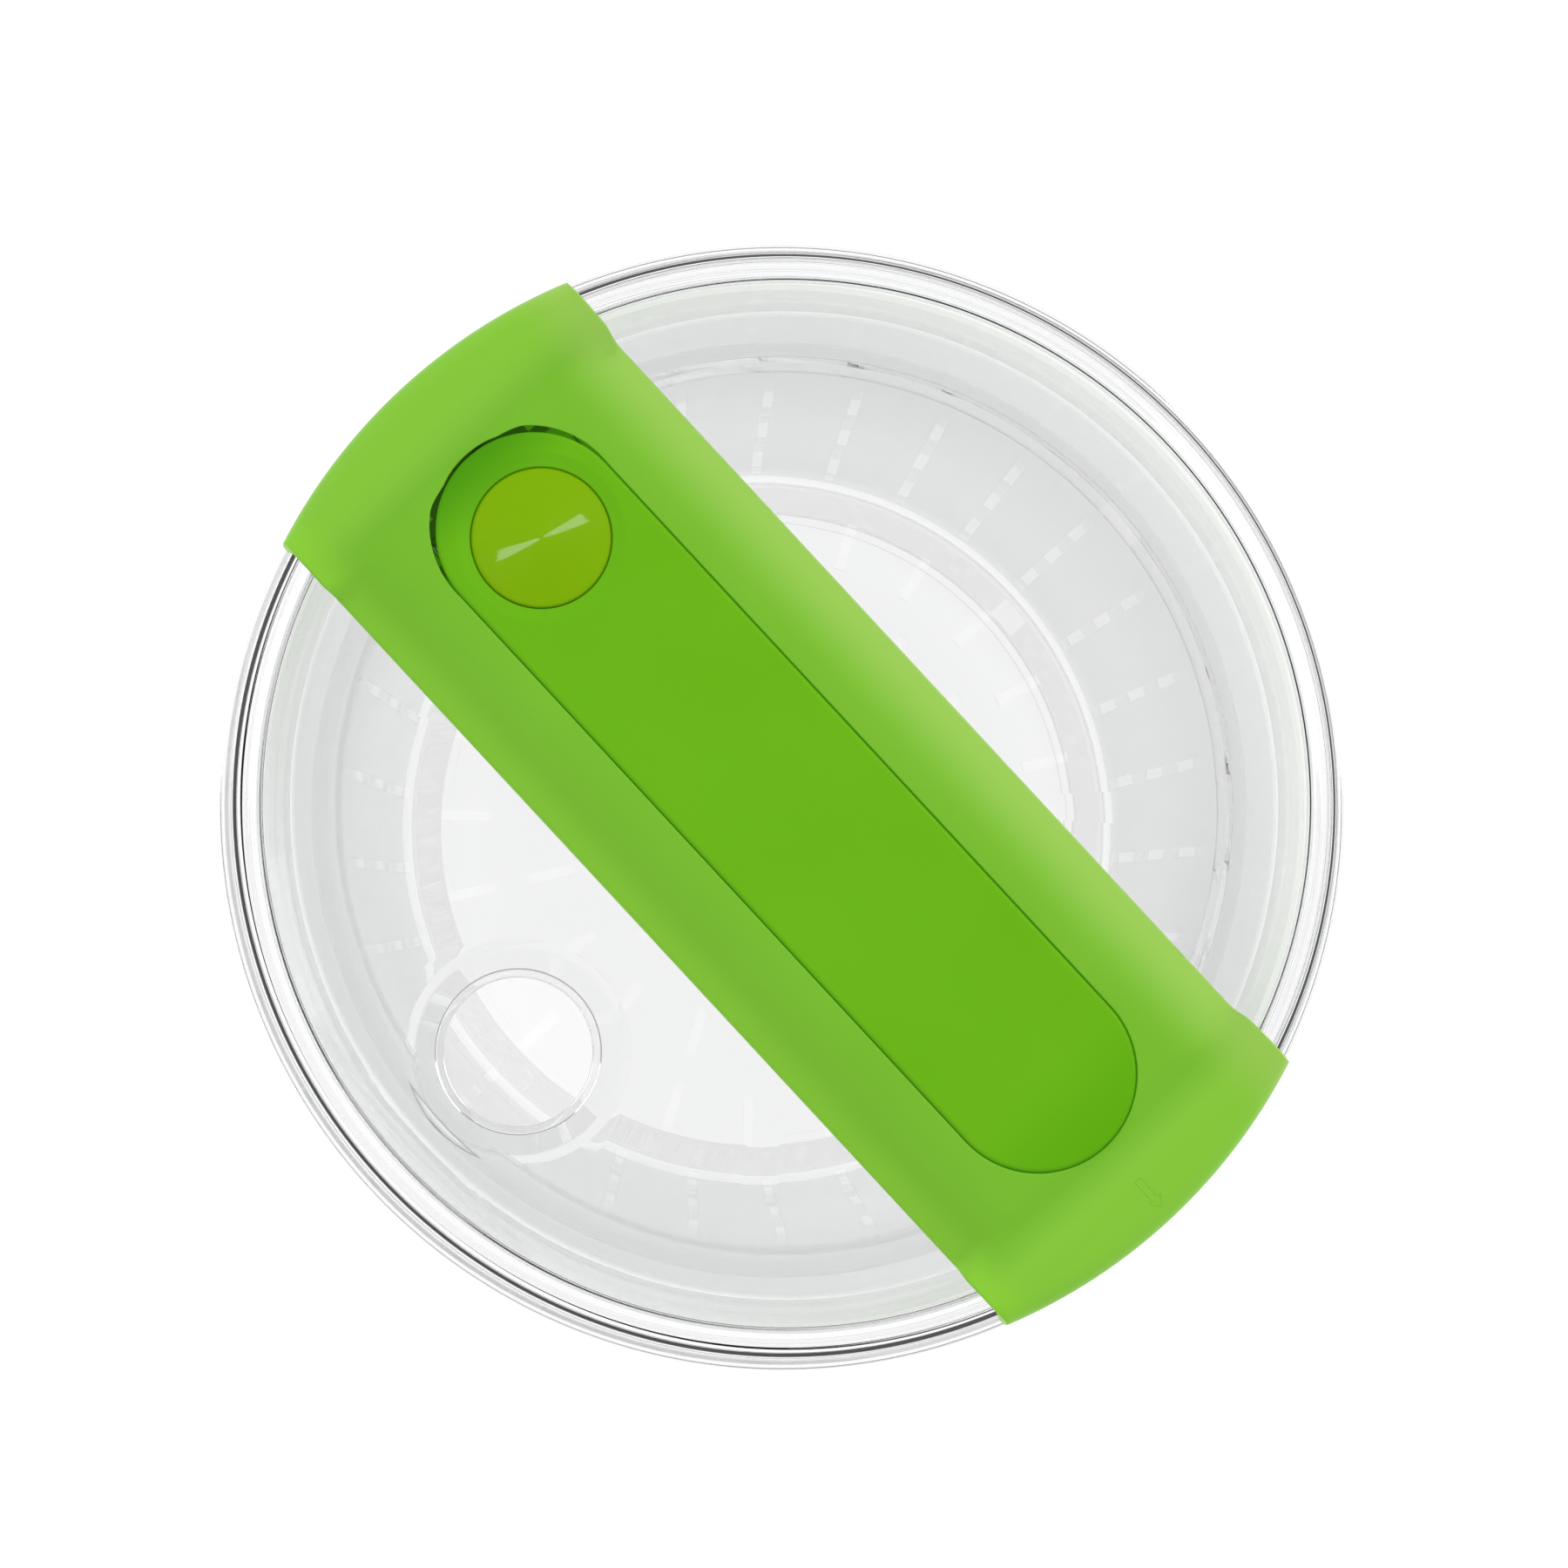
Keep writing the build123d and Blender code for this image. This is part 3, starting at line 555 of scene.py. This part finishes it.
def make_lever():
    """Green lever cover: a thin shell with a rounded edge and a soft sink round the button."""
    outline = slot_outline(LEVER_L, LEVER_W, 110, 72)
    rays = []
    for x, y, _, _ in outline:
        away = math.hypot(x - BUTTON_X, y)
        rays.append(((x - BUTTON_X) / away, y / away))

    def circle(radius, z):
        return [(BUTTON_X + radius * c, radius * s, z) for c, s in rays]

    under = LEVER_Z - LEVER_SKIN
    rows = [circle(BUTTON_HOLE_R, under), circle(BUTTON_HOLE_R, LEVER_Z - SINK_DEEP - 0.25)]
    steps = 12
    for k in range(steps + 1):
        t = k / steps
        radius = mix(BUTTON_HOLE_R + 0.12, SINK_R, t)
        depth = SINK_DEEP * (1.0 - smooth(0.0, 1.0, t)) + edge_fall(radius - BUTTON_HOLE_R, 0.35)
        rows.append(circle(radius, LEVER_Z - depth))
    rows.append(circle(SINK_R + 0.4, LEVER_Z))
    edge = 1.0
    rows.append(grown(outline, -edge - 0.3, LEVER_Z))
    for k in range(7):
        angle = math.pi / 2 * k / 6
        rows.append(grown(outline, -edge + edge * math.sin(angle), LEVER_Z - edge + edge * math.cos(angle)))
    rows.append(grown(outline, 0.0, LEVER_UNDER + 0.3))
    rows.append(grown(outline, -0.3, LEVER_UNDER))
    rows.append(grown(outline, -LEVER_SKIN, LEVER_UNDER))
    rows.append(grown(outline, -LEVER_SKIN, under))
    lever = lofted("lever_shell", rows, closed=True)
    shade(lever, 36.0)
    return lever


def make_button():
    """Glossy button: a shallow cone with a softened tip and edge."""
    top = BUTTON_HIGH.z
    fall = top - (BUTTON_LOW.z + 1.6)
    rim = BUTTON_HOLE_R - 0.25
    outline = [(0, BUTTON_LOW.z), (rim - 0.3, BUTTON_LOW.z), (rim, BUTTON_LOW.z + 0.3)]
    shoulder = 0.7
    count = 26
    for k in range(count):
        radius = rim * (1.0 - (k / count) ** 1.3)
        height = top - fall * (radius / rim) ** 1.3
        height -= 0.9 * edge_fall(rim - radius, shoulder)
        outline.append((radius, height))
    outline.append((0, top))
    button = turned("button_shell", outline, 128, (BUTTON_X, 0.0))
    shade(button, 50.0)
    return button


# ---- materials ----


def noise(tree, scale, detail=3.0, stretch=(1.0, 1.0, 1.0)):
    """A noise texture fixed to the piece, with its scale in waves per metre."""
    place = tree.nodes.new("ShaderNodeTexCoord")
    mapping = tree.nodes.new("ShaderNodeMapping")
    mapping.inputs["Scale"].default_value = stretch
    texture = tree.nodes.new("ShaderNodeTexNoise")
    texture.inputs["Scale"].default_value = scale
    texture.inputs["Detail"].default_value = detail
    tree.links.new(place.outputs["Object"], mapping.inputs["Vector"])
    tree.links.new(mapping.outputs["Vector"], texture.inputs["Vector"])
    return texture.outputs["Fac"]


def between(tree, source, low, high):
    """A noise output spread between two values."""
    spread = tree.nodes.new("ShaderNodeMapRange")
    spread.inputs["From Min"].default_value = 0.3
    spread.inputs["From Max"].default_value = 0.7
    spread.inputs["To Min"].default_value = low
    spread.inputs["To Max"].default_value = high
    tree.links.new(source, spread.inputs["Value"])
    return spread.outputs["Result"]


def two_tone(tree, source, first, second):
    """A colour between two, by a value from 0 to 1."""
    blend = tree.nodes.new("ShaderNodeMix")
    blend.data_type = "RGBA"
    blend.inputs["A"].default_value = (*first, 1.0)
    blend.inputs["B"].default_value = (*second, 1.0)
    tree.links.new(source, blend.inputs["Factor"])
    return blend.outputs["Result"]


def bump(tree, shader, source, height, strength=0.4):
    """Fine relief of a height in millimetres."""
    relief = tree.nodes.new("ShaderNodeBump")
    relief.inputs["Strength"].default_value = strength
    relief.inputs["Distance"].default_value = height * MM
    tree.links.new(source, relief.inputs["Height"])
    tree.links.new(relief.outputs["Normal"], shader.inputs["Normal"])


def blank(name):
    """A new material with its node tree and Principled shader."""
    material = bpy.data.materials.new(name)
    material.use_nodes = True
    tree = material.node_tree
    return material, tree, tree.nodes["Principled BSDF"]


def moulded(
    name, colour, deep, roughness, grain=1400.0, relief=0.02, coat=0.0, specular=0.5, painted_glow=(0.0, 0.0, 0.0)
):
    """Moulded plastic: two close tones in slow clouds, a fine texture, and a painted glow: emission that
    stands in for light through translucent plastic.
    """
    material, tree, shader = blank(name)
    clouds = between(tree, noise(tree, 34.0, 4.0), 0.0, 1.0)
    tree.links.new(two_tone(tree, clouds, deep, colour), shader.inputs["Base Color"])
    fine = noise(tree, grain, 2.0)
    tree.links.new(between(tree, fine, roughness - 0.04, roughness + 0.04), shader.inputs["Roughness"])
    shader.inputs["Specular IOR Level"].default_value = specular
    shader.inputs["Coat Weight"].default_value = coat
    shader.inputs["Coat Roughness"].default_value = 0.04
    bump(tree, shader, fine, relief)
    # painted light: an emission glow of the part's own, not a lamp
    if max(painted_glow) > 0.0:
        shader.inputs["Emission Color"].default_value = (*painted_glow, 1.0)
        shader.inputs["Emission Strength"].default_value = 1.0
    return material


def tint(material, colour, axis, low, high, mirrored=True):
    """Turns a material towards a colour between two distances along an axis of the object.

    This paints light and shade into the colour: painted light where thin walls that turn down would let the
    light of the room through, and painted shade at sheltered ends.
    """
    tree = material.node_tree
    shader = tree.nodes["Principled BSDF"]
    source = shader.inputs["Base Color"].links[0].from_socket
    place = tree.nodes.new("ShaderNodeTexCoord")
    parts = tree.nodes.new("ShaderNodeSeparateXYZ")
    tree.links.new(place.outputs["Object"], parts.inputs["Vector"])
    distance = parts.outputs[axis]
    if mirrored:
        size = tree.nodes.new("ShaderNodeMath")
        size.operation = "ABSOLUTE"
        tree.links.new(distance, size.inputs[0])
        distance = size.outputs["Value"]
    spread = tree.nodes.new("ShaderNodeMapRange")
    spread.interpolation_type = "SMOOTHSTEP"
    spread.inputs["From Min"].default_value = low * MM
    spread.inputs["From Max"].default_value = high * MM
    tree.links.new(distance, spread.inputs["Value"])
    blend = tree.nodes.new("ShaderNodeMix")
    blend.data_type = "RGBA"
    blend.inputs["B"].default_value = (*colour, 1.0)
    tree.links.new(spread.outputs["Result"], blend.inputs["Factor"])
    tree.links.new(source, blend.inputs["A"])
    tree.links.new(blend.outputs["Result"], shader.inputs["Base Color"])


def drawn_steel(name, colour):
    """Bright steel with fine drawing lines."""
    material, tree, shader = blank(name)
    shader.inputs["Metallic"].default_value = 1.0
    lines = noise(tree, 900.0, 3.0, (1.0, 1.0, 0.08))
    dark = tuple(0.8 * part for part in colour)
    tree.links.new(two_tone(tree, lines, dark, colour), shader.inputs["Base Color"])
    tree.links.new(between(tree, lines, 0.2, 0.34), shader.inputs["Roughness"])
    bump(tree, shader, lines, 0.01)
    return material


def let_lamps_through(tree, surface, veil):
    """Finishes a clear material: lamps see the veil, and everything else sees the surface."""
    path = tree.nodes.new("ShaderNodeLightPath")
    choice = tree.nodes.new("ShaderNodeMixShader")
    tree.links.new(path.outputs["Is Shadow Ray"], choice.inputs["Fac"])
    tree.links.new(surface, choice.inputs[1])
    tree.links.new(veil.outputs["BSDF"], choice.inputs[2])
    tree.links.new(choice.outputs["Shader"], tree.nodes["Material Output"].inputs["Surface"])


def clear(name, tint, roughness, through, density):
    """Clear moulded plastic, greyer where it is thicker, that lets lamps through."""
    material, tree, shader = blank(name)
    haze = noise(tree, 60.0, 4.0)
    tree.links.new(between(tree, haze, roughness, roughness + 0.02), shader.inputs["Roughness"])
    shade_of = tuple(0.99 * part for part in tint)
    tree.links.new(two_tone(tree, haze, shade_of, tint), shader.inputs["Base Color"])
    shader.inputs["Transmission Weight"].default_value = 1.0
    shader.inputs["IOR"].default_value = 1.49
    bump(tree, shader, noise(tree, 220.0, 2.0), 0.004, 0.15)
    veil = tree.nodes.new("ShaderNodeBsdfTransparent")
    veil.inputs["Color"].default_value = (through, through, through, 1.0)
    let_lamps_through(tree, shader.outputs["BSDF"], veil)
    depth = tree.nodes.new("ShaderNodeVolumeAbsorption")
    depth.inputs["Color"].default_value = (0.5, 0.5, 0.5, 1.0)
    depth.inputs["Density"].default_value = density
    tree.links.new(depth.outputs["Volume"], tree.nodes["Material Output"].inputs["Volume"])
    return material


def thin_clear(name, tint, weight, least=0.01):
    """Thin clear plastic: see-through face on, and denser and glossy towards its edges."""
    material, tree, shader = blank(name)
    haze = noise(tree, 80.0, 4.0)
    tree.links.new(between(tree, haze, 0.08, 0.14), shader.inputs["Roughness"])
    pale = tuple(0.97 * part for part in tint)
    tree.links.new(two_tone(tree, haze, pale, tint), shader.inputs["Base Color"])
    bump(tree, shader, noise(tree, 220.0, 2.0), 0.004, 0.15)
    veil = tree.nodes.new("ShaderNodeBsdfTransparent")
    facing = tree.nodes.new("ShaderNodeLayerWeight")
    facing.inputs["Blend"].default_value = 0.25
    spread = tree.nodes.new("ShaderNodeMapRange")
    spread.inputs["To Min"].default_value = least
    spread.inputs["To Max"].default_value = weight
    tree.links.new(facing.outputs["Facing"], spread.inputs["Value"])
    choice = tree.nodes.new("ShaderNodeMixShader")
    tree.links.new(spread.outputs["Result"], choice.inputs["Fac"])
    tree.links.new(veil.outputs["BSDF"], choice.inputs[1])
    tree.links.new(shader.outputs["BSDF"], choice.inputs[2])
    let_lamps_through(tree, choice.outputs["Shader"], veil)
    return material


# painted light: the green mouldings glow a little by emission, standing in for light through their slightly
# translucent plastic, so that deep gaps between them stay green
PAINTED_GREEN_GLOW = (0.03, 0.11, 0.003)

materials = {
    "clear_lid": clear("clear_lid", (0.99, 0.992, 0.994), 0.0, 0.97, 10.0),
    "clear_bowl": thin_clear("clear_bowl", (0.62, 0.63, 0.63), 0.75),
    "clear_basket": thin_clear("clear_basket", (0.76, 0.77, 0.77), 0.35),
    "green_bar": moulded(
        "green_bar", (0.160, 0.395, 0.024), (0.150, 0.380, 0.020), 0.42, specular=0.25, painted_glow=PAINTED_GREEN_GLOW),
    "green_lever": moulded(
        "green_lever", (0.118, 0.352, 0.005), (0.110, 0.338, 0.003), 0.44, specular=0.12, painted_glow=PAINTED_GREEN_GLOW),
    "lime_button": moulded(
        "lime_button", (0.148, 0.305, 0.0), (0.138, 0.288, 0.0), 0.4, 500.0, 0.01, 0.12, 0.03),
    "white_nylon": moulded("white_nylon", (0.80, 0.81, 0.78), (0.74, 0.75, 0.72), 0.45),
    "bearing_plastic": moulded("bearing_plastic", (0.66, 0.67, 0.66), (0.60, 0.61, 0.60), 0.35),
    "steel": drawn_steel("steel", (0.66, 0.67, 0.69)),
    "soft_ring": thin_clear("soft_ring", (0.70, 0.72, 0.69), 0.8, 0.05),
    "brake_rubber": moulded("brake_rubber", (0.025, 0.025, 0.026), (0.015, 0.015, 0.016), 0.8, 1200.0, 0.05),
}
# painted light: the rolls at the bar's ends and the outer parts of both side slopes are painted lighter,
# where light falls on them and shines through the thin walls
tint(materials["green_bar"], (0.20, 0.45, 0.035), "X", 107.0, 116.0)
tint(materials["green_bar"], (0.27, 0.45, 0.075), "Y", 27.0, 43.0, mirrored=False)
tint(materials["green_bar"], (0.22, 0.50, 0.03), "Y", -34.0, -44.0, mirrored=False)
# painted shade: the lever is painted darker towards both ends, where the clips' rolls shelter it
tint(materials["green_lever"], (0.035, 0.20, 0.0), "X", -92.0, -109.0, mirrored=False)
tint(materials["green_lever"], (0.08, 0.30, 0.0), "X", 84.0, 107.0, mirrored=False)


def dress(obj, slot):
    """Gives a piece the material of a slot, and nothing else."""
    obj.data.materials.clear()
    obj.data.materials.append(materials[slot])


for part in frame["record"]["subparts"]:
    dress(frame["nodes"][part["node"]], part["material_slot"])

# ---- the pieces ----

looks = (
    (make_lid(), "lid", "clear_lid", "lid"),
    (make_bowl(), "bowl", "clear_bowl", "bowl"),
    (make_bar(), "lid", "green_bar", "handle_bar"),
    (make_arrow(), "lid", "green_bar", None),
    (make_lever(), "lever", "green_lever", "lever_cover"),
    (make_button(), "button", "lime_button", "button_cap"),
)
for piece, body, slot_name, node in looks:
    dress(piece, slot_name)
    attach(piece, body)
    if node:
        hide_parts(node)

# ---- floor, light and camera ----

FLOOR_HALF = 40000.0
FLOOR_GLOW = 0.92
WORLD_STRENGTH = 0.8
ZENITH = 0.4

LENS = 200.0
CAMERA_ELEVATION = 86.5
CAMERA_DISTANCE = 1.992
GLINT_DISTANCE = 1.5


def make_floor():
    """A white floor lit from below, so that clear pieces on it throw no dark shadows."""
    mesh_data = bmesh.new()
    bmesh.ops.create_grid(mesh_data, x_segments=1, y_segments=1, size=FLOOR_HALF)
    floor = new_object("floor", mesh_data)
    material, tree, shader = blank("floor")
    grain = noise(tree, 40.0)
    tree.links.new(two_tone(tree, grain, (0.16, 0.16, 0.16), (0.17, 0.17, 0.17)), shader.inputs["Base Color"])
    shader.inputs["Roughness"].default_value = 0.9
    shader.inputs["Specular IOR Level"].default_value = 0.1
    shader.inputs["Emission Color"].default_value = (1.0, 1.0, 1.0, 1.0)
    shader.inputs["Emission Strength"].default_value = FLOOR_GLOW
    floor.data.materials.append(material)


def make_world():
    """A plain studio: brighter towards the horizon than overhead."""
    world = bpy.data.worlds.new("studio")
    bpy.context.scene.world = world
    world.use_nodes = True
    tree = world.node_tree
    place = tree.nodes.new("ShaderNodeTexCoord")
    parts = tree.nodes.new("ShaderNodeSeparateXYZ")
    ramp = tree.nodes.new("ShaderNodeValToRGB")
    stops = ramp.color_ramp.elements
    stops[0].position, stops[0].color = 0.0, (1.0, 1.0, 1.0, 1.0)
    stops[1].position, stops[1].color = 1.0, (ZENITH, ZENITH, ZENITH, 1.0)
    middle = stops.new(0.75)
    middle.color = (0.8, 0.8, 0.8, 1.0)
    tree.links.new(place.outputs["Generated"], parts.inputs["Vector"])
    tree.links.new(parts.outputs["Z"], ramp.inputs["Fac"])
    tree.links.new(ramp.outputs["Color"], tree.nodes["Background"].inputs["Color"])
    tree.nodes["Background"].inputs["Strength"].default_value = WORLD_STRENGTH


def area_light(name, place, aim, width, height, power):
    """A rectangular soft lamp that faces a point, in metres and watts."""
    data = bpy.data.lights.new(name, "AREA")
    data.shape = "RECTANGLE"
    data.size = width
    data.size_y = height
    data.energy = power
    lamp = bpy.data.objects.new(name, data)
    bpy.context.scene.collection.objects.link(lamp)
    lamp.location = place
    lamp.rotation_euler = (Vector(aim) - Vector(place)).to_track_quat("-Z", "Y").to_euler()
    return lamp


def make_camera():
    """Camera nearly straight above the lid, turned so that the bar runs down to the right."""
    right = Vector((0.679, 0.734, 0.0)).normalized()
    up = Vector((-right.y, right.x, 0.0))
    tilt = math.radians(CAMERA_ELEVATION)
    back = Vector((0.0, -math.cos(tilt), math.sin(tilt)))
    target = Vector((0.0, 0.0, RIM_Z * MM)) - right * 0.0007 + up * 0.0043
    data = bpy.data.cameras.new("camera")
    data.lens = LENS
    data.sensor_width = 36.0
    camera = bpy.data.objects.new("camera", data)
    bpy.context.scene.collection.objects.link(camera)
    across = (right - back * right.dot(back)).normalized()
    turn = Matrix((across, back.cross(across), back)).transposed().to_4x4()
    camera.matrix_world = Matrix.Translation(target + back * CAMERA_DISTANCE) @ turn
    bpy.context.scene.camera = camera
    return camera


def glint(camera, target, name, heading, slope, width, length, power):
    """A narrow lamp that the button's flank mirrors to the camera, and that lights nothing else.

    heading is the flank's direction from the button's middle, and slope its tilt, in degrees.
    """
    spot = Vector((BUTTON_X, 0.0, BUTTON_HIGH.z)) * MM
    turn, tilt = math.radians(heading), math.radians(slope)
    normal = Vector((math.sin(tilt) * math.cos(turn), math.sin(tilt) * math.sin(turn), math.cos(tilt)))
    seen = (camera.matrix_world.translation - spot).normalized()
    mirrored = normal * (2 * normal.dot(seen)) - seen
    lamp = area_light(name, spot + mirrored * GLINT_DISTANCE, spot, width, length, power)
    lamp.light_linking.receiver_collection = target


make_floor()
make_world()
camera = make_camera()
soft = area_light("left_soft", (-1.25, -0.5, 1.2), (0, 0, 0.1), 1.0, 1.0, 8.0)
soft.visible_glossy = False
soft = area_light("right_soft", (0.4, 1.3, 1.2), (0, 0, 0.1), 1.0, 1.0, 14.0)
soft.visible_glossy = False
button_only = bpy.data.collections.new("button_only")
button_only.objects.link(looks[-1][0])
glint(camera, button_only, "glint_right", 68.0, 7.5, 0.14, 0.45, 5.5)
glint(camera, button_only, "glint_left", 255.0, 7.5, 0.14, 0.45, 5.5)

bpy.context.scene.view_settings.view_transform = "Standard"
bpy.context.scene.view_settings.look = "None"
